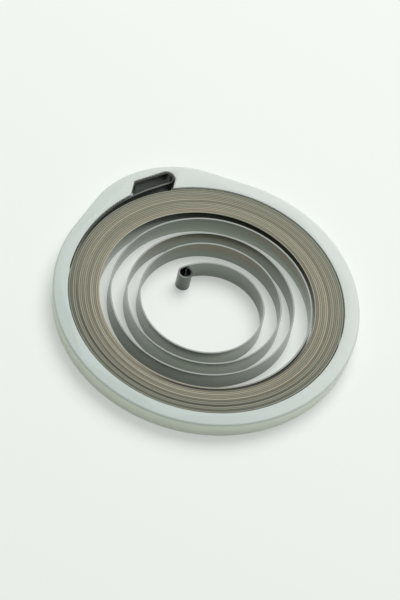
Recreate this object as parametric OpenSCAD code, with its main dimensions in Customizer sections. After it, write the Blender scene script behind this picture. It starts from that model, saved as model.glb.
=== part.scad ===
// Recoil starter spring: a flat-strip spiral spring, lying wound in an open plastic retaining ring.
// The origin is on the axis of the ring's bore, at the underside, with +Z up. Lengths are in millimetres.
// Seen from above, the strip runs counter-clockwise from its hook in the ring to its eye near the middle.

/* [Strip] */
// Width of the spring strip, which is its height in the ring
strip_w = 4.5; // [3:0.1:8]
// Thickness of the spring strip
strip_t = 0.38; // [0.2:0.01:0.4]

/* [Turns] */
// Number of turns that lie packed against the ring
pack_turns = 15.25; // [8.25:0.5:15.25]
// Gap between two packed turns
turn_gap = 0.04; // [0.01:0.01:0.05]
// Pitch of the half turn that parts from the pack
parting_pitch = 2.05; // [1.5:0.05:3]
// Pitch of the turn after it, which opens out
opening_pitch = 3.85; // [3:0.05:4]
// Number of loose turns inside that one
loose_turns = 1.5; // [0.5:0.5:1.5]
// Pitch of the loose turns
loose_pitch = 2.8; // [2:0.05:3.2]
// Pitch of the last half turn, which curls in towards the eye
tail_pitch = 5.8; // [4:0.05:6.5]

/* [Eye] */
// Diameter of the eye's hole
eye_d = 2.4; // [1.6:0.1:4]
// How far the eye curls round
eye_sweep = 305; // [240:5:310]

/* [Hook] */
// How much larger the lead-out's radius is than the outermost turn's
lead_rise = 3.09; // [2.5:0.01:4]
// Angle through which the lead-out turns
lead_sweep = 52; // [46:1:58]
// Length of the hook's straight near leg
near_leg = 4.2; // [2:0.1:6]
// Length of the hook's far leg, which bears on the end of the pocket
far_leg = 6.9; // [4:0.1:9]
// Radius of the hook's bend, at the middle of the strip
bend_r = 1.3; // [0.8:0.05:1.6]

/* [Ring] */
// Diameter of the ring's bore
bore_d = 60; // [57:0.5:66]
// Radial thickness of the ring's wall
ring_wall = 3.3; // [2:0.1:5]
// Height of the ring
ring_h = 4.6; // [3:0.1:7]
// Thickness of the ring outside the hook's pocket
pocket_wall = 1.6; // [1:0.1:3]
// Radius of the bulge's crown around the pocket
bulge_r = 22; // [16:0.5:24]

/* [Clearances] */
// Gap between the packed turns and the ring's bore
bore_gap = 0.1; // [0.05:0.01:0.3]
// Gap between the hook and the walls of its pocket
pocket_gap = 0.25; // [0.15:0.01:0.5]

/* [Hidden] */
$fn = 120;

function ray(angle) = [cos(angle), sin(angle)];
function micron(x) = round(1000 * x) / 1000;

// The winding is a chain of quarter-turn arcs, each tangent to the next, numbered from the outside in
quarter = 90;
per_turn = 360 / quarter;
start_angle = 180;
pack_n = round(per_turn * pack_turns);
parting_n = per_turn / 2;
opening_n = per_turn;
loose_n = round(per_turn * loose_turns);
tail_n = per_turn / 2;
pack_r = bore_d / 2 - bore_gap - strip_t / 2;

// Each zone is a number of steps from one arc to the next, and the pitch of a full turn of such steps
zones = [
    [pack_n - 1, strip_t + turn_gap],
    [parting_n, parting_pitch],
    [opening_n, opening_pitch],
    [loose_n, loose_pitch],
    [tail_n, tail_pitch]
];
arc_n = pack_n + parting_n + opening_n + loose_n + tail_n;

// How much smaller the radius is after a number of steps into zone k
function drop(steps, k) = k == len(zones) || steps <= 0 ? 0
    : min(steps, zones[k][0]) * zones[k][1] / per_turn + drop(steps - zones[k][0], k + 1);
function radius(i) = micron(pack_r - drop(i, 0));
function arc_angle(i) = start_angle + quarter * i;
centres = [
    for (i = 0, c = [0, 0]; i < arc_n; i = i + 1, c = c + (radius(i - 1) - radius(i)) * ray(arc_angle(i))) c
];

// The strip's two formed ends are drawn a hair thinner, and start this many degrees inside the strip
end_t = strip_t - 0.02;
eye_lap = 5;
lead_lap = 2;

// The last arc runs on for half a quarter, to the point where the eye begins
tail_sweep = 1.5 * quarter;
eye_angle = arc_angle(arc_n - 1) + tail_sweep;
eye_r = (eye_d + end_t) / 2;
eye_centre = centres[arc_n - 1] + (radius(arc_n - 1) - eye_r) * ray(eye_angle);

// The hook lies along the tangent at the end of the lead-out, with its far leg on the outside
hook_angle = start_angle - lead_sweep;
hook_along = ray(hook_angle - quarter);
hook_out = ray(hook_angle);
lead_r = pack_r + lead_rise;
lead_centre = (pack_r - lead_r) * ray(start_angle);
hook_start = lead_centre + lead_r * hook_out;
bend_centre = hook_start + near_leg * hook_along + bend_r * hook_out;
far_end = bend_centre + bend_r * hook_out - far_leg * hook_along;

// The pocket follows the hook's outside, and its end walls run straight towards the bore
pocket_r = bend_r + strip_t / 2 + pocket_gap;
pocket_left = far_end.x - strip_t / 2 - pocket_gap;
pocket_right = bend_centre.x + pocket_r;
pocket_crown = bend_centre + pocket_r * hook_out;
pocket_corner_y = pocket_crown.y + (pocket_left - pocket_crown.x) * hook_along.y / hook_along.x;
pocket_root_y = bend_centre.y / 2;
relief_r = lead_r + strip_t / 2 + pocket_gap;

// The bulge carries the wall outside the pocket, and straight flanks join it to the ring
ring_r = bore_d / 2 + ring_wall;
far_middle = bend_centre + bend_r * hook_out - far_leg / 2 * hook_along;
bulge_angle = atan2(far_middle.y, far_middle.x);
bulge_peak = norm(bend_centre) + pocket_r + pocket_wall;
bulge_offset = bulge_peak - bulge_r;
bulge_centre = bulge_offset * ray(bulge_angle);
flank_half = acos((ring_r - bulge_r) / bulge_offset);
// The flanks lie this far inside the two rounds' common tangents, and so cross both rounds
flank_inset = 0.05;
function flank(side) = ray(bulge_angle + side * flank_half);

module strip_arc(centre, r, from, sweep, t) {
    translate(centre)
        rotate_extrude(start = from, angle = sweep)
            translate([r - t / 2, 0])
                square([t, strip_w]);
}

module strip_leg(from, length) {
    translate([from.x, from.y - end_t / 2, 0])
        cube([length, end_t, strip_w]);
}

module winding() {
    for (i = [0 : arc_n - 1])
        strip_arc(centres[i], radius(i), arc_angle(i), i < arc_n - 1 ? quarter : tail_sweep, strip_t);
}

module eye() {
    strip_arc(eye_centre, eye_r, eye_angle - eye_lap, eye_sweep + eye_lap, end_t);
}

// Drawn with the near leg along +X and the far leg on the +Y side
module hook() {
    translate(hook_start)
        rotate(hook_angle - quarter) {
            strip_arc([0, -lead_r], lead_r, quarter, lead_sweep + lead_lap, end_t);
            strip_leg([0, 0], near_leg);
            strip_arc([near_leg, bend_r], bend_r, -quarter, 2 * quarter, end_t);
            strip_leg([near_leg - far_leg, 2 * bend_r], far_leg);
        }
}

module spiral_spring() {
    color([0.52, 0.53, 0.48]) {
        winding();
        eye();
        hook();
    }
}

module ring_outline() {
    circle(r = ring_r);
    translate(bulge_centre)
        circle(r = bulge_r);
    polygon([
        (ring_r - flank_inset) * flank(-1),
        bulge_centre + (bulge_r - flank_inset) * flank(-1),
        bulge_centre + (bulge_r - flank_inset) * flank(1),
        (ring_r - flank_inset) * flank(1)
    ]);
}

module hook_pocket() {
    translate(bend_centre)
        circle(r = pocket_r);
    polygon([
        [pocket_left, pocket_corner_y],
        [pocket_left, pocket_root_y],
        [pocket_right, pocket_root_y],
        [pocket_right, bend_centre.y],
        pocket_crown
    ]);
}

// Room for the lead-out, from the start of the winding to the pocket
module lead_relief() {
    intersection() {
        translate(lead_centre)
            circle(r = relief_r);
        translate([-ring_r, 0])
            square([ring_r + pocket_left + pocket_r, ring_r]);
    }
}

module retaining_ring() {
    color([0.80, 0.84, 0.81])
        linear_extrude(height = ring_h)
            difference() {
                ring_outline();
                circle(d = bore_d);
                hook_pocket();
                lead_relief();
            }
}

retaining_ring();
spiral_spring();
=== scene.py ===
# %% [markdown]
# # Recoil starter spring
#
# A pull starter rewinds its rope with a flat steel strip, wound like a clock spring. Before it is fitted,
# the strip lies in an open plastic ring that keeps it from flying apart. This lesson dresses the measured
# solids of that part: it loads them as a fixed frame, remakes both pieces with finer edges, and gives them
# their finishes.

# %% Load the frame
from math import acos, atan2, copysign, cos, degrees, pi, radians, sin

import bmesh
import bpy
from mathutils import Matrix, Vector


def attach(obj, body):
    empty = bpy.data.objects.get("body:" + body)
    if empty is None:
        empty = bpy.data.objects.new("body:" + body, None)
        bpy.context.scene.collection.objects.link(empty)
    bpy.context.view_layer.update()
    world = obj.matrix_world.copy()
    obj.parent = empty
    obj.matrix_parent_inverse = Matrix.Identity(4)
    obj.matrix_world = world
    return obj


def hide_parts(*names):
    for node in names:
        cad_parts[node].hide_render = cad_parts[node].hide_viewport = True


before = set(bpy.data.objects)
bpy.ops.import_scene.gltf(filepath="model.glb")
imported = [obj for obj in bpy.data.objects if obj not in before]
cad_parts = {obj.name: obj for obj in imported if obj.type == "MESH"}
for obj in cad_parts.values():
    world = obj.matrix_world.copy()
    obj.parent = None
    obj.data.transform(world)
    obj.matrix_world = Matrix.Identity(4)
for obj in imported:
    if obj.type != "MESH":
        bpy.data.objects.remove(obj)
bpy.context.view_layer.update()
print("frame nodes:", sorted(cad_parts))

# %% [markdown]
# ## The winding
#
# A strip that is wound tight and then lets go a little is a spiral whose pitch changes on the way in. It
# could be drawn as one long curve with thousands of points. A chain of quarter turns, each a little smaller
# than the one before and tangent to it, needs only a few pitches, and every link is a plain arc. An arc is
# also what the spin operator sweeps, so the same chain drives the mesh below.

# %% Sizes of the strip and its turns
MM = 0.001
strip_w = 4.5 * MM
strip_t = 0.38 * MM
bore_r = 30 * MM
bore_gap = 0.1 * MM
pack_r = bore_r - bore_gap - strip_t / 2

one_turn = 2 * pi
quarter = radians(90)
start_angle = radians(180)
turn_gap = 0.04 * MM
# Each zone of the winding, from the outside in: how many steps of a quarter turn it has, and its pitch
zones = [
    (60, strip_t + turn_gap),
    (2, 2.05 * MM),
    (4, 3.85 * MM),
    (6, 2.8 * MM),
    (2, 5.8 * MM),
]


def ray(angle):
    return Vector((cos(angle), sin(angle), 0))


radii = [pack_r]
for steps, pitch in zones:
    for _ in range(steps):
        radii.append(radii[-1] - pitch / 4)

centres = [Vector((0, 0, 0))]
for i in range(1, len(radii)):
    centres.append(centres[-1] + (radii[i - 1] - radii[i]) * ray(start_angle + quarter * i))
print(f"winding: {len(radii)} arcs, with radii from {radii[0] / MM:.2f} to {radii[-1] / MM:.2f} mm")

# %% [markdown]
# ## The two ends
#
# The strip is held by its ends. The outer one leads out of the pack into a hook, which sits in a pocket of
# the ring, and the inner one curls into an open eye that catches on the rope's pulley. Both could be drawn
# by hand, but then they would have to be moved whenever the winding changes. They are arcs and straight
# legs that leave the winding at a tangent, so they are worked out from the places where it starts and
# stops.

# %% Sizes of the eye
tail_sweep = 1.5 * quarter
eye_d = 2.4 * MM
# The measured strip is a hair thinner at its ends, and the eye's middle line follows it
end_t = strip_t - 0.02 * MM
eye_r = (eye_d + end_t) / 2
eye_sweep = radians(305)
eye_angle = start_angle + quarter * (len(radii) - 1) + tail_sweep
eye_centre = centres[-1] + (radii[-1] - eye_r) * ray(eye_angle)
print(f"eye: at {eye_centre.x / MM:.3f}, {eye_centre.y / MM:.3f} mm")

# %% Sizes of the hook
lead_rise = 3.09 * MM
lead_sweep = radians(52)
near_leg = 4.2 * MM
far_leg = 6.9 * MM
bend_r = 1.3 * MM

lead_r = pack_r + lead_rise
hook_angle = start_angle - lead_sweep
hook_along = ray(hook_angle - quarter)
hook_out = ray(hook_angle)
lead_centre = (pack_r - lead_r) * ray(start_angle)
hook_start = lead_centre + lead_r * hook_out
bend_centre = hook_start + near_leg * hook_along + bend_r * hook_out
far_end = bend_centre + bend_r * hook_out - far_leg * hook_along
print(f"hook: bend at {bend_centre.x / MM:.2f}, {bend_centre.y / MM:.2f} mm")

# %% [markdown]
# ## The strip
#
# The real strip is rolled flat and slit to width, so its edges are slightly rounded. A curve object with a
# bevel could carry such a section, but not what the finish has to know about each point. So one upright
# section, a rectangle with its corners rounded, is swept arc by arc from the hook to the eye. Every sweep
# starts where the last one ended, and once the doubled points are merged the whole strip is one skin with
# no seam. Each section keeps how many turns it is from the start of the winding, and each corner which side
# of the strip it is on, in attributes that the steel's finish reads later.

# %% Section of the strip
edge_round = 0.035 * MM
section_mesh = bpy.data.meshes.new("section")
bm = bmesh.new()
bm.verts.layers.float.new("turn")
side_layer = bm.verts.layers.float.new("side")
bmesh.ops.create_grid(bm, x_segments=1, y_segments=1, size=0.5)
bmesh.ops.scale(bm, vec=(strip_t, strip_w, 1), verts=bm.verts)
bmesh.ops.bevel(
    bm, geom=bm.verts[:], offset=edge_round, segments=2, profile=0.5, affect="VERTICES", material=-1,
)
for vert in bm.verts:
    vert[side_layer] = copysign(1, vert.co.x)
bmesh.ops.translate(bm, vec=(0, strip_w / 2, 0), verts=bm.verts)
bmesh.ops.rotate(bm, cent=(0, 0, 0), matrix=Matrix.Rotation(quarter, 3, "X"), verts=bm.verts)
bmesh.ops.delete(bm, geom=bm.faces[:], context="FACES_ONLY")
section_size = len(bm.verts)
bm.to_mesh(section_mesh)
bm.free()
print("section corners:", section_size)

# %% Ways to sweep it
UP = Vector((0, 0, 1))
strip = bmesh.new()
for layer in ("turn", "side"):
    strip.verts.layers.float.new(layer)
swept_mesh = bpy.data.meshes.new("swept")


def parts_of(geom, kind):
    return [part for part in geom if isinstance(part, kind)]


def sweep(place, facing, steps, turns, run):
    """Stands a section at a place, facing an angle, lets run move it on, and keeps what it swept."""
    bm = bmesh.new()
    bm.from_mesh(section_mesh)
    layer = bm.verts.layers.float["turn"]
    stand = Matrix.Translation(place) @ Matrix.Rotation(facing, 4, "Z")
    bmesh.ops.transform(bm, matrix=stand, verts=bm.verts)
    run(bm)
    bm.verts.ensure_lookup_table()
    for k, vert in enumerate(bm.verts):
        vert[layer] = turns[0] + (turns[1] - turns[0]) * (k // section_size) / steps
    bm.to_mesh(swept_mesh)
    bm.free()
    strip.from_mesh(swept_mesh)


def sweep_arc(centre, radius, start, angle, steps, turns):
    def run(bm):
        bmesh.ops.spin(bm, geom=bm.verts[:] + bm.edges[:], cent=centre, axis=UP, angle=angle, steps=steps)

    sweep(centre + radius * ray(start), start, steps, turns, run)


def sweep_leg(place, along, turns):
    def run(bm):
        pulled = bmesh.ops.extrude_edge_only(bm, edges=bm.edges[:])["geom"]
        bmesh.ops.translate(bm, vec=along, verts=parts_of(pulled, bmesh.types.BMVert))

    sweep(place, hook_angle, 1, turns, run)


print("strip carries:", strip.verts.layers.float.keys())

# %% Sweep from the hook to the eye
quarter_steps = 32
bend_steps = 20
eye_steps = 40
# The winding counts its turns from 0 up. The hook's pieces and the eye add short counts at its ends.
leg_turns = 0.04
eye_turns = 0.1
hook_turn = -lead_sweep / one_turn
near_turn = hook_turn - leg_turns
bend_turn = near_turn - leg_turns
far_turn = bend_turn - leg_turns
tail_turn = (len(radii) - 1) / 4
eye_turn = tail_turn + tail_sweep / one_turn

sweep_leg(far_end, far_leg * hook_along, (far_turn, bend_turn))
sweep_arc(bend_centre, bend_r, hook_angle, -2 * quarter, bend_steps, (bend_turn, near_turn))
sweep_leg(hook_start + near_leg * hook_along, -near_leg * hook_along, (near_turn, hook_turn))
sweep_arc(lead_centre, lead_r, hook_angle, lead_sweep, quarter_steps, (hook_turn, 0))
angles = [quarter] * (len(radii) - 1) + [tail_sweep]
for i, (centre, radius, angle) in enumerate(zip(centres, radii, angles)):
    turns = (i / 4, i / 4 + angle / one_turn)
    sweep_arc(centre, radius, start_angle + quarter * i, angle, quarter_steps, turns)
sweep_arc(eye_centre, eye_r, eye_angle, eye_sweep, eye_steps, (eye_turn, eye_turn + eye_turns))
print(f"turns swept: {eye_turn:.2f}")


# %% Join the sweeps and close both ends
def new_piece(name, bm, smooth_below):
    """Turns a finished bmesh into an object at the origin, with edges sharper than an angle kept crisp."""
    bmesh.ops.recalc_face_normals(bm, faces=bm.faces)
    for face in bm.faces:
        face.smooth = True
    for edge in bm.edges:
        edge.smooth = edge.calc_face_angle(0) < smooth_below
    mesh = bpy.data.meshes.new(name)
    bm.to_mesh(mesh)
    bm.free()
    piece = bpy.data.objects.new(name, mesh)
    bpy.context.scene.collection.objects.link(piece)
    print(f"{name}: {len(mesh.vertices)} vertices, {len(mesh.polygons)} faces")
    return piece


joint_reach = 0.002 * MM
bmesh.ops.remove_doubles(strip, verts=strip.verts, dist=joint_reach)
open_edges = [edge for edge in strip.edges if edge.is_boundary]
caps = bmesh.ops.holes_fill(strip, edges=open_edges, sides=0)["faces"]
print("end caps:", len(caps))
spring = new_piece("wound_strip", strip, radians(20))
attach(spring, "root")
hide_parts("spiral_spring")

# %% [markdown]
# ## The ring
#
# The ring is one plastic moulding: a plain round with a bulge, where the wall runs around the pocket that
# holds the hook. It could be cut from plain solids with booleans, but those leave ragged faces that don't
# round well. Seen from above it is two closed outlines, so each is traced with a single point that is spun
# or moved on. The space between them is filled, and that flat face is pulled up to the ring's height. Its
# foot is drawn in a little, as a moulding needs to leave its mould, and its edges are rounded, because a
# moulding never has a knife edge.

# %% Sizes of the ring
ring_h = 4.6 * MM
ring_wall = 3.3 * MM
pocket_gap = 0.25 * MM
pocket_wall = 1.6 * MM
bulge_r = 22 * MM
ring_r = bore_r + ring_wall
pocket_r = bend_r + strip_t / 2 + pocket_gap
pocket_left = far_end.x - strip_t / 2 - pocket_gap
pocket_right = bend_centre.x + pocket_r
pocket_crown = bend_centre + pocket_r * hook_out
corner_y = pocket_crown.y + (pocket_left - pocket_crown.x) * hook_along.y / hook_along.x
relief_r = lead_r + strip_t / 2 + pocket_gap

far_middle = bend_centre + bend_r * hook_out - far_leg / 2 * hook_along
bulge_angle = atan2(far_middle.y, far_middle.x)
bulge_offset = bend_centre.length + pocket_r + pocket_wall - bulge_r
bulge_centre = bulge_offset * ray(bulge_angle)
flank_half = acos((ring_r - bulge_r) / bulge_offset)
print(f"bulge: {bulge_offset / MM:.2f} mm out, flanks at {degrees(flank_half):.1f} degrees")


# %% Trace the outside
class Outline:
    """An outline seen from above, traced with one point: arcs are spun, straight runs are pulled."""

    def __init__(self, bm, start):
        self.bm = bm
        self.first = self.last = bmesh.ops.create_vert(bm, co=start)["vert"][0]

    def arc(self, centre, angle, steps):
        swept = bmesh.ops.spin(self.bm, geom=[self.last], cent=centre, axis=UP, angle=angle, steps=steps)
        self.last = parts_of(swept["geom_last"], bmesh.types.BMVert)[0]

    def line(self, end, steps):
        step = (end - self.last.co) / steps
        for _ in range(steps):
            self.last = bmesh.ops.extrude_vert_indiv(self.bm, verts=[self.last])["verts"][0]
            bmesh.ops.translate(self.bm, vec=step, verts=[self.last])


round_steps = 112
flank_steps = 4
crown_steps = 20
left_flank = bulge_angle + flank_half
right_flank = bulge_angle - flank_half
bm = bmesh.new()
outside = Outline(bm, ring_r * ray(left_flank))
outside.arc(Vector(), one_turn - 2 * flank_half, round_steps)
outside.line(bulge_centre + bulge_r * ray(right_flank), flank_steps)
outside.arc(bulge_centre, 2 * flank_half, crown_steps)
outside.line(outside.first.co, flank_steps)
print("points outside:", len(bm.verts))

# %% Trace the bore, the relief and the pocket
bore_steps = 110
relief_steps = 24
roof_steps = 5
bend_wall_steps = 16
side_steps = 2
# The lead-out's relief opens gently out of the bore, a few degrees before the winding starts
relief_blend = radians(4)
mouth = Vector((pocket_right, (bore_r**2 - pocket_right**2) ** 0.5, 0))
mouth_angle = atan2(mouth.y, mouth.x)
relief_end = acos((pocket_left - lead_centre.x) / relief_r)
inside = Outline(bm, mouth)
inside.arc(Vector(), -(mouth_angle + start_angle - relief_blend), bore_steps)
inside.line(lead_centre + relief_r * ray(start_angle), side_steps)
inside.arc(lead_centre, relief_end - start_angle, relief_steps)
inside.line(Vector((pocket_left, corner_y, 0)), side_steps)
inside.line(pocket_crown, roof_steps)
inside.arc(bend_centre, -hook_angle, bend_wall_steps)
inside.line(inside.first.co, side_steps)
bmesh.ops.remove_doubles(bm, verts=bm.verts, dist=joint_reach)
print("outline points:", len(bm.verts), "loose ends:", sum(len(v.link_edges) != 2 for v in bm.verts))


# %% Fill between the outlines and raise
def middle(edge):
    return (edge.verts[0].co + edge.verts[1].co) / 2


def cut_near(x):
    """The edge across the flat ring whose middle lies nearest to a place on the X axis."""
    return min(across, key=lambda edge: abs(middle(edge).x - x))


bmesh.ops.triangle_fill(bm, use_beauty=True, use_dissolve=False, edges=bm.edges, normal=UP)
across = [edge for edge in bm.edges if not edge.is_boundary]
cuts = {cut_near(-ring_r), cut_near(ring_r)}
bmesh.ops.dissolve_edges(bm, edges=[edge for edge in across if edge not in cuts], use_verts=False)
print("faces seen from above:", len(bm.faces))
raised = bmesh.ops.extrude_face_region(bm, geom=bm.faces[:] + bm.edges[:] + bm.verts[:], use_keep_orig=True)
bmesh.ops.translate(bm, vec=UP * ring_h, verts=parts_of(raised["geom"], bmesh.types.BMVert))
bmesh.ops.recalc_face_normals(bm, faces=bm.faces)

# %% Draw in the foot and round the edges
upright_below = 0.2
level_above = 0.99


def rim(outer):
    """The top and bottom edges of the outer wall, which faces away from the axis, or of the inner walls."""
    found = []
    for edge in bm.edges:
        wall, level = sorted(edge.link_faces, key=lambda face: abs(face.normal.z))
        if abs(wall.normal.z) < upright_below and abs(level.normal.z) > level_above:
            if (wall.normal.dot(middle(edge)) > 0) == outer:
                found.append(edge)
    return found


draft = 0.5 * MM
foot = {vert for edge in rim(True) for vert in edge.verts if vert.co.z < ring_h / 2}
slimmer = 1 - draft / ring_r
bmesh.ops.scale(bm, vec=(slimmer, slimmer, 1), verts=list(foot))
outer_round = 0.45 * MM
inner_round = 0.15 * MM
for outer, offset, segments in ((True, outer_round, 4), (False, inner_round, 2)):
    bmesh.ops.bevel(
        bm, geom=rim(outer), offset=offset, segments=segments, profile=0.5, affect="EDGES", material=-1,
        clamp_overlap=False,
    )
ring = new_piece("moulded_ring", bm, radians(35))
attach(ring, "root")
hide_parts("retaining_ring")

# %% [markdown]
# ## Camera
#
# The part lies flat and is seen from the front, from a little more than half way up, by a camera with a
# slight roll. A very long lens from far away keeps the near and far sides of the ring almost the same size.
# The camera could be turned with angles and a constraint. Writing down its three directions and putting
# them into a matrix says plainly what is right, up and forward in the picture.

# %% Place the camera
scene = bpy.context.scene
scene.view_settings.view_transform = "Standard"
elevation = radians(52.52)
roll = radians(14.03)
distance = 3000 * MM
aim = Vector((-1.35, -0.28, 4.2)) * MM
sideways = Vector((1, 0, 0))
forward = Vector((0, cos(elevation), -sin(elevation)))
upward = Vector((0, sin(elevation), cos(elevation)))
view_right = cos(roll) * sideways + sin(roll) * upward
view_up = cos(roll) * upward - sin(roll) * sideways
camera = bpy.data.objects.new("camera", bpy.data.cameras.new("camera"))
camera.data.sensor_width = 36
camera.data.lens = 840
camera.data.clip_start = 0.01
turned = Matrix((view_right, view_up, -forward)).transposed().to_4x4()
camera.matrix_world = Matrix.Translation(aim - distance * forward) @ turned
scene.collection.objects.link(camera)
scene.camera = camera
print("camera at", [round(x / MM, 1) for x in camera.location])

# %% [markdown]
# ## Nodes written as sums
#
# A finish is a net of nodes. Wiring it by hand takes three lines per node and hides the idea. Two small
# classes make it read like a sum: a wire stands for one output, so that adding or multiplying wires adds
# the Math nodes, and a finish adds any other node in one call and keeps a few recipes that come up again
# and again.


# %% Wires that do sums
class Wire:
    """One output of a finish's nodes. Arithmetic on wires adds Math nodes."""

    def __init__(self, finish, socket):
        self.finish = finish
        self.socket = socket

    def maths(self, operation, *values):
        return self.finish.node("ShaderNodeMath", {"operation": operation}, dict(enumerate(values)))

    def __add__(self, other):
        return self.maths("ADD", self, other)

    def __radd__(self, other):
        return self.maths("ADD", other, self)

    def __sub__(self, other):
        return self.maths("SUBTRACT", self, other)

    def __rsub__(self, other):
        return self.maths("SUBTRACT", other, self)

    def __mul__(self, other):
        return self.maths("MULTIPLY", self, other)

    def __rmul__(self, other):
        return self.maths("MULTIPLY", other, self)

    def __truediv__(self, other):
        return self.maths("DIVIDE", self, other)

    def __rtruediv__(self, other):
        return self.maths("DIVIDE", other, self)

    def __abs__(self):
        return self.maths("ABSOLUTE", self)

    def cosine(self):
        return self.maths("COSINE", self)

    def maximum(self, other):
        return self.maths("MAXIMUM", self, other)


print("wires do:", [name.strip("_") for name, what in vars(Wire).items() if callable(what)])


# %% Finishes that add nodes
class Finish:
    """A material or world whose nodes are added one by one."""

    def __init__(self, owner):
        owner.use_nodes = True
        self.tree = owner.node_tree
        self.tree.nodes.clear()

    def node(self, kind, settings=None, sockets=None, out=0):
        """Adds a node, sets its settings, gives each socket a value or a wire, and returns one output."""
        made = self.tree.nodes.new(kind)
        for name, value in (settings or {}).items():
            setattr(made, name, value)
        for name, value in (sockets or {}).items():
            if isinstance(value, Wire):
                self.tree.links.new(value.socket, made.inputs[name])
            else:
                made.inputs[name].default_value = value
        return Wire(self, made.outputs[out]) if made.outputs else None

    def smooth(self, value, low, high):
        """Fades from 0 to 1 while a value goes from one limit to the other."""
        return self.node(
            "ShaderNodeMapRange", {"interpolation_type": "SMOOTHSTEP"},
            {"Value": value, "From Min": low, "From Max": high},
        )

    def cloud(self, spot, scale, detail):
        """Noise through the whole part, finer with a larger scale."""
        return self.node("ShaderNodeTexNoise", {}, {"Vector": spot, "Scale": scale, "Detail": detail})

    def lean(self, spot, angle, reach):
        """Runs from 0 on one side of the part to 1 on the side that lies at an angle, seen from above."""
        product = {"operation": "DOT_PRODUCT"}
        along = self.node("ShaderNodeVectorMath", product, {0: spot, 1: ray(angle)}, out=1)
        return self.smooth(along, -reach, reach)

    def background_rays(self):
        """1 on the rays that show the background: seen directly, in metal or through plastic."""
        seen, mirrored, passed = (self.node("ShaderNodeLightPath", out=k) for k in (0, 3, 6))
        return seen.maximum(mirrored.maximum(passed))

    def mix(self, share, below, above):
        """Mixes two colours."""
        return self.node("ShaderNodeMix", {"data_type": "RGBA"}, {0: share, 6: below, 7: above}, out=2)

    def coats(self, base, layers):
        """Lays one colour after the other over a base, each as far as its mask covers."""
        for mask, shade in layers:
            base = self.mix(mask, base, shade)
        return base


def colour(r, g, b):
    return (r, g, b, 1)


def new_material(name, piece):
    material = bpy.data.materials.new(name)
    piece.data.materials.clear()
    piece.data.materials.append(material)
    return Finish(material)


print("finishes know:", [name for name in vars(Finish) if not name.startswith("_")])

# %% [markdown]
# ## Table and light
#
# The part lies on a pale table in a bright room, with one large lamp far behind it on the right, which
# gives the faint shadow on the near left side. Brighter lamps could turn the table almost white, but they
# would wash out the part as well. So table and room are lit as gently as the part, and only the rays that
# show them as a background see them paler.

# %% Table
table_half = 1.5
bm = bmesh.new()
bmesh.ops.create_grid(bm, x_segments=1, y_segments=1, size=table_half)
floor = new_piece("table", bm, radians(30))
table = new_material("pale_table", floor)
pale = colour(0.86, 0.895, 0.857)
glow_share = 0.4
matt = table.node("ShaderNodeBsdfPrincipled", {}, {
    "Base Color": pale, "Roughness": 0.6, "Specular IOR Level": 0.2,
})
glow = table.node("ShaderNodeEmission", {}, {"Color": pale, "Strength": 1.0})
shown = table.node("ShaderNodeMixShader", {}, {0: glow_share * table.background_rays(), 1: matt, 2: glow})
table.node("ShaderNodeOutputMaterial", {}, {"Surface": shown})

# %% Room and lamp
world = bpy.data.worlds.new("soft_room")
scene.world = world
room = Finish(world)
room_light = room.node("ShaderNodeBackground", {}, {"Color": colour(0.97, 1.0, 0.99), "Strength": 0.38})
room_seen = room.node("ShaderNodeBackground", {}, {"Color": colour(0.87, 0.91, 0.885), "Strength": 1.0})
shown = room.node("ShaderNodeMixShader", {}, {0: room.background_rays(), 1: room_light, 2: room_seen})
room.node("ShaderNodeOutputWorld", {}, {"Surface": shown})

lamp = bpy.data.objects.new("window", bpy.data.lights.new("window", "AREA"))
lamp.data.energy = 5.4
lamp.data.shape = "DISK"
lamp.data.size = 0.7
lamp.location = (0.11, 0.42, 0.67)
lamp.rotation_mode = "QUATERNION"
lamp.rotation_quaternion = (-lamp.location).to_track_quat("-Z", "Y")
scene.collection.objects.link(lamp)
print("lamp:", lamp.data.energy, "W")

# %% [markdown]
# ## Milky nylon
#
# The ring is natural nylon: milky, a little greenish, and slightly see-through, so light soaks into its
# edges. A painted texture could show that, but the tone changes so slowly that noise and a few colours do
# it better. Light and shade are painted into these colours: the far right side of the ring is painted
# lighter and the near left side darker, with a little random mottling. The walls are painted lighter than
# the top, for the light that bounces up from the table and soaks through the plastic. A fine grain keeps
# the moulded surface from looking polished.

# %% Nylon
# Painted light: the top and the walls each have a colour for the shaded near left side and one for the lit
# far right side.
top_shaded_side = colour(0.47, 0.53, 0.495)
top_lit_side = colour(0.585, 0.63, 0.583)
# Painted light: the walls are painted lighter than the top, for light that bounces up from the table and
# soaks through the plastic.
wall_shaded_side = colour(0.70, 0.745, 0.645)
wall_lit_side = colour(0.80, 0.84, 0.76)
lit_side = radians(55)

nylon = new_material("milky_nylon", ring)
spot = nylon.node("ShaderNodeTexCoord", out=3)
height = nylon.node("ShaderNodeSeparateXYZ", {}, {0: spot}, out=2)
grain = nylon.cloud(spot, 1800.0, 2.0)
# Painted light, with a little random mottling: 0 on the shaded near left side, 1 on the lit far right side.
lit_side_and_mottle = nylon.lean(spot, lit_side, ring_r) + 0.3 * (nylon.cloud(spot, 60.0, 3.0) - 0.5)
top = nylon.mix(lit_side_and_mottle, top_shaded_side, top_lit_side)
wall = nylon.mix(lit_side_and_mottle, wall_shaded_side, wall_lit_side)
below_rim = nylon.smooth(height, ring_h, ring_h - 2 * outer_round)
dimple = nylon.node("ShaderNodeBump", {}, {"Strength": 0.08, "Distance": 0.1 * MM, "Height": grain})
surface = nylon.node("ShaderNodeBsdfPrincipled", {}, {
    "Base Color": nylon.mix(below_rim, top, wall), "Roughness": 0.42 + 0.12 * grain, "Normal": dimple,
    "IOR": 1.5, "Subsurface Weight": 0.35, "Subsurface Scale": 1.6 * MM,
    "Subsurface Radius": (1.0, 1.0, 0.85),
})
nylon.node("ShaderNodeOutputMaterial", {}, {"Surface": surface})
print("nylon nodes:", len(nylon.tree.nodes))

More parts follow.
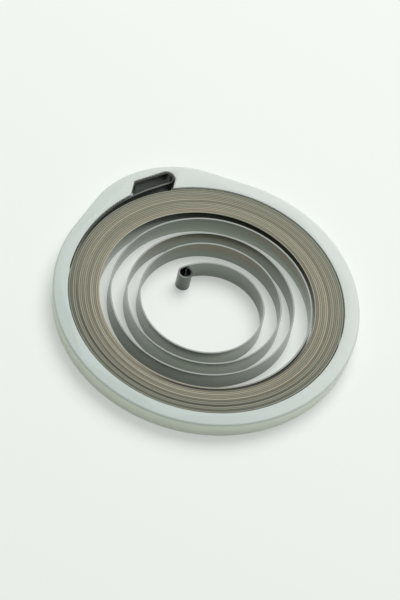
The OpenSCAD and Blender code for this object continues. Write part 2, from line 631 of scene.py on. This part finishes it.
# %% [markdown]
# ## Spring steel
#
# The strip is hardened steel, rolled, tempered and slit to width. What it looks like depends on the place
# along the strip more than on the place in the room, and a texture could only follow it if it were as long
# as the strip. So the finish first works out where on the strip a point lies: how many turns along, how far
# up, on which side, and whether on a rolled face or on one of the slit edges.

# %% Where on the strip
steel = new_material("spring_steel", spring)
spot = steel.node("ShaderNodeTexCoord", out=3)
height = steel.node("ShaderNodeSeparateXYZ", {}, {0: spot}, out=2)
turn = steel.node("ShaderNodeAttribute", {"attribute_name": "turn"}, out=2)
side = steel.node("ShaderNodeAttribute", {"attribute_name": "side"}, out=2)
rise = height / strip_w
on_edge = steel.smooth(abs(rise - 0.5), 0.478, 0.494)
inner = steel.smooth(side, 0.0, -0.2)
outer = 1 - inner
front = steel.lean(spot, radians(255), bore_r)


def fade(start, end):
    """Fades from 0 to 1 between two places along the strip, both counted in turns."""
    return steel.smooth(turn, start, end)


def along_strip(frequency, start, detail):
    """A tone that changes along the strip, and so from each turn to the next."""
    return steel.node(
        "ShaderNodeTexNoise", {"noise_dimensions": "1D"},
        {"W": turn * frequency + start, "Scale": 1.0, "Detail": detail},
    )


pack_turn = zones[0][0] / 4
in_hook = fade(0.0, -0.06)
in_near_leg = fade(-0.19, -0.17) * fade(-0.10, -0.14)
in_eye = fade(eye_turn - 0.035, eye_turn + 0.005)
print(f"pack ends at turn {pack_turn:.2f}, tail starts at {tail_turn:.2f}, eye at {eye_turn:.3f}")

# %% [markdown]
# ## Slit edges
#
# Of a packed turn only the slit edge shows. It is dull and tan, and each turn has its own tone, because it
# is another stretch of a long coil of steel. Light and shade are painted in as well. Towards the front the
# edges are painted lighter and more tan, and after every third turn a near-black line of painted shade
# falls between the turns, clearest on the outermost ones. One more line of painted shade runs where the
# pack lets go of its innermost turn, and the outermost turns are painted a darker olive for the shade of
# the ring's wall. The hook's edges are painted almost black for the shade of its pocket, the near leg's a
# little lighter, and the edges of the eye's curled tip near black. The loose turns have greyer edges.
# The tones are coats, laid one over the other: each line below says how far a coat covers, and its colour.

# %% Tones of the slit edges
edge_dark = colour(0.128, 0.128, 0.090)
edge_tan = colour(0.275, 0.264, 0.196)
edge_rust = colour(0.25, 0.185, 0.125)
edge_ring_shade = colour(0.11, 0.122, 0.09)
edge_grey = colour(0.26, 0.277, 0.255)
gap_shade = colour(0.012, 0.012, 0.008)
hook_shade = colour(0.012, 0.014, 0.012)
near_leg_half_shade = colour(0.095, 0.10, 0.09)
eye_rim = colour(0.16, 0.174, 0.16)
eye_tip_shade = colour(0.012, 0.014, 0.016)

bunch = 3
bunch_start = 1.25
streak = steel.smooth(along_strip(1.37, 4.0, 2.0), 0.30, 0.72)
rust = steel.smooth(along_strip(0.9, 31.0, 2.0), 0.50, 0.75)
between = steel.smooth(((turn - bunch_start) * (one_turn / bunch)).cosine(), 0.75, 0.97)
outermost = fade(9.0, 5.0)
parting = fade(pack_turn - 0.84, pack_turn - 0.76) * fade(pack_turn - 0.5, pack_turn - 0.6)
edge_coats = [
    # Painted light: the edges towards the front are painted lighter and more tan.
    (0.3 * front, edge_tan),
    (0.4 * rust, edge_rust),
    # Painted shade: a near-black line every third turn at the front, and one where the pack lets go of its
    # innermost turn.
    (between * front * (0.35 + 0.65 * outermost), gap_shade),
    (parting, gap_shade),
    # Painted shade of the ring's wall: the outermost turns' edges are darkened olive.
    (0.25 * outermost, edge_ring_shade),
    (0.5 * fade(4.6, 0.6), edge_ring_shade),
    (fade(pack_turn + 0.1, pack_turn + 0.6), edge_grey),
    # Painted shade of the pocket: the hook's edges almost black, the near leg's edge a little lighter.
    (in_hook, hook_shade),
    (in_near_leg, near_leg_half_shade),
    (in_eye, eye_rim),
    # Painted shade: the edges of the eye's curled tip are near black, for the dark inside the eye.
    (fade(eye_turn + 0.045, eye_turn + 0.075), eye_tip_shade),
]
slit = steel.coats(steel.mix(streak, edge_dark, edge_tan), edge_coats)
print("coats on the slit edges:", len(edge_coats))

# %% [markdown]
# ## Rolled faces
#
# The flat faces are smooth and grey-green, and on the inner side tempering has left faint brown tints.
# Light and shade are painted in as well. The inner faces are painted darker towards the top, a painted
# reflection of the darker room above the table. The first loose turn is painted in shade outside and paler
# at its foot inside, a painted reflection of the table, while the outer faces of the later ones have a
# painted sheen towards their upper edge. The tail's inner face is painted a little shaded, the hook's faces
# are painted dark for the shade of its pocket, and inside the eye, where almost no light gets in, the face
# is painted near black.

# %% Tones of the rolled faces
face_dark = colour(0.24, 0.267, 0.23)
face_light = colour(0.31, 0.337, 0.30)
# Painted reflection: the colour the inner faces darken to towards their top.
face_dark_reflection = colour(0.13, 0.143, 0.118)
face_shade = colour(0.13, 0.143, 0.12)
face_sheen = colour(0.44, 0.475, 0.43)
foot_reflection = colour(0.44, 0.48, 0.42)
heat_brown = colour(0.23, 0.185, 0.14)
hook_face_shade = colour(0.075, 0.082, 0.077)
eye_grey = colour(0.14, 0.155, 0.14)
eye_hole_shade = colour(0.02, 0.023, 0.026)

first_loose = fade(pack_turn + 1.6, pack_turn + 1.2)
in_tail = fade(tail_turn - 0.3, tail_turn)
in_curl = fade(eye_turn - 0.029, eye_turn - 0.019)
# Painted reflection: the inner faces darken towards the top.
darker_to_top = inner * steel.smooth(rise, 0.0, 0.9) * (0.6 - 0.6 * in_tail)
before_tail = fade(tail_turn - 0.2, tail_turn - 0.4)
tint = steel.smooth(along_strip(2.1, 12.0, 1.0), 0.42, 0.62)
heated = inner * tint * steel.smooth(rise, 0.3, 0.75) * before_tail
face_coats = [
    (darker_to_top, face_dark_reflection),
    (0.65 * outer * first_loose, face_shade),
    (0.25 * inner * in_tail, face_shade),
    # Painted sheen: the outer faces of the later loose turns brighten towards their upper edge.
    (0.2 * outer * (1 - first_loose) * steel.smooth(rise, 0.45, 0.95), face_sheen),
    # Painted reflection of the table: the first loose turn's inner face is paler at its foot.
    (0.6 * inner * first_loose * steel.smooth(rise, 0.5, 0.0), foot_reflection),
    (0.6 * heated, heat_brown),
    # Painted shade: the hook's faces are dark in the shade of its pocket.
    (in_hook, hook_face_shade),
    (in_eye, eye_grey),
    # Painted shade: inside the eye's curl, where almost no light gets in, the face is near black.
    (inner * in_curl, eye_hole_shade),
]
rolled = steel.coats(steel.mix(steel.cloud(spot, 45.0, 2.0), face_dark, face_light), face_coats)
print("coats on the rolled faces:", len(face_coats))

# %% [markdown]
# ## The steel's surface
#
# Rolling leaves fine lines along the strip. Cutting them into the mesh would take millions of faces, so
# noise that is stretched along the turns stands for them, as a faint bump and as a change in how sharply
# the steel mirrors. The slit edges are rough and mirror hardly at all, so they look alike from every side.

# %% Steel
dashes_per_turn = 40.0
lines_per_metre = 40000.0
brush = steel.node("ShaderNodeCombineXYZ", {}, {0: turn * dashes_per_turn, 1: height * lines_per_metre})
lines = steel.node(
    "ShaderNodeTexNoise", {"noise_dimensions": "2D"}, {"Vector": brush, "Scale": 1.0, "Detail": 2.0},
)
scratch = steel.node("ShaderNodeBump", {}, {"Strength": 0.06, "Distance": 0.05 * MM, "Height": lines})
surface = steel.node("ShaderNodeBsdfPrincipled", {}, {
    "Base Color": steel.mix(on_edge, rolled, slit), "Metallic": 1 - 0.85 * on_edge,
    "Specular IOR Level": 0.2, "Roughness": 0.20 + 0.10 * lines + 0.2 * on_edge, "Normal": scratch,
})
steel.node("ShaderNodeOutputMaterial", {}, {"Surface": surface})
print("finishes:", [m.name for m in bpy.data.materials if m.users])

# %% [markdown]
